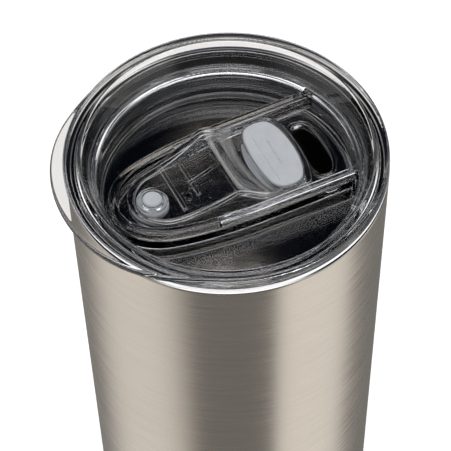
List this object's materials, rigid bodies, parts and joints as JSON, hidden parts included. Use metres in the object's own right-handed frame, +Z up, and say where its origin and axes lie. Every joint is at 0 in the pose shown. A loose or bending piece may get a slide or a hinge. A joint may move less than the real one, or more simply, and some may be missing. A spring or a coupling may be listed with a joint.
{
  "type": "insulated travel mug",
  "caption": "Double-wall steel travel tumbler with a clear press-in lid, silicone gasket and a sliding drink closure that seals the slot and the vent.",
  "frame": {"origin": "centre of the base plate's underside, on the resting plane and on the cup's axis", "axes": "+Z up along the cup's axis; +X from the axis towards the drinking slot, so the thumb tab is on the -X side and the slider closes towards +X"},
  "size_m": [0.0938, 0.089, 0.1753],
  "materials": {
    "shell_steel": "fine circumferential brushing",
    "liner_steel": "fine brushing inside, polished lip",
    "pan_steel": "as pressed, dull",
    "base_steel": "turned, concentric lines",
    "solder_glass": "glossy dark glass bead",
    "getter": "pressed powder, matt",
    "clip_steel": "rolled strip",
    "lid_clear": "clear polished moulding",
    "gasket_silicone": "translucent silicone",
    "slider_clear": "clear polished moulding",
    "seal_silicone": "milky silicone, satin",
    "plug_silicone": "milky silicone, satin"
  },
  "bodies": {
    "mug": {"outer_shell": "shell_steel", "inner_liner": "liner_steel", "bottom_pan": "pan_steel", "base_plate": "base_steel", "seal_bead": "solder_glass", "getter_pellet": "getter", "getter_clip": "clip_steel"},
    "gasket": {"lid_gasket": "gasket_silicone"},
    "lid": {"lid_body": "lid_clear"},
    "slider": {"slider_body": "slider_clear", "drink_seal": "seal_silicone", "vent_seal": "plug_silicone"}
  },
  "joints": [
    {"name": "lid_lift", "type": "slide", "parent": "mug", "child": "gasket", "axis": [0, 0, 1], "range_m": [0, 0.06]},
    {"name": "lid_turn", "type": "hinge", "parent": "gasket", "child": "lid", "pos_m": [0, 0, 0.165], "axis": [0, 0, 1], "continuous": true},
    {"name": "slider_slide", "type": "slide", "parent": "lid", "child": "slider", "axis": [1, 0, 0], "range_m": [0, 0.011]}
  ]
}
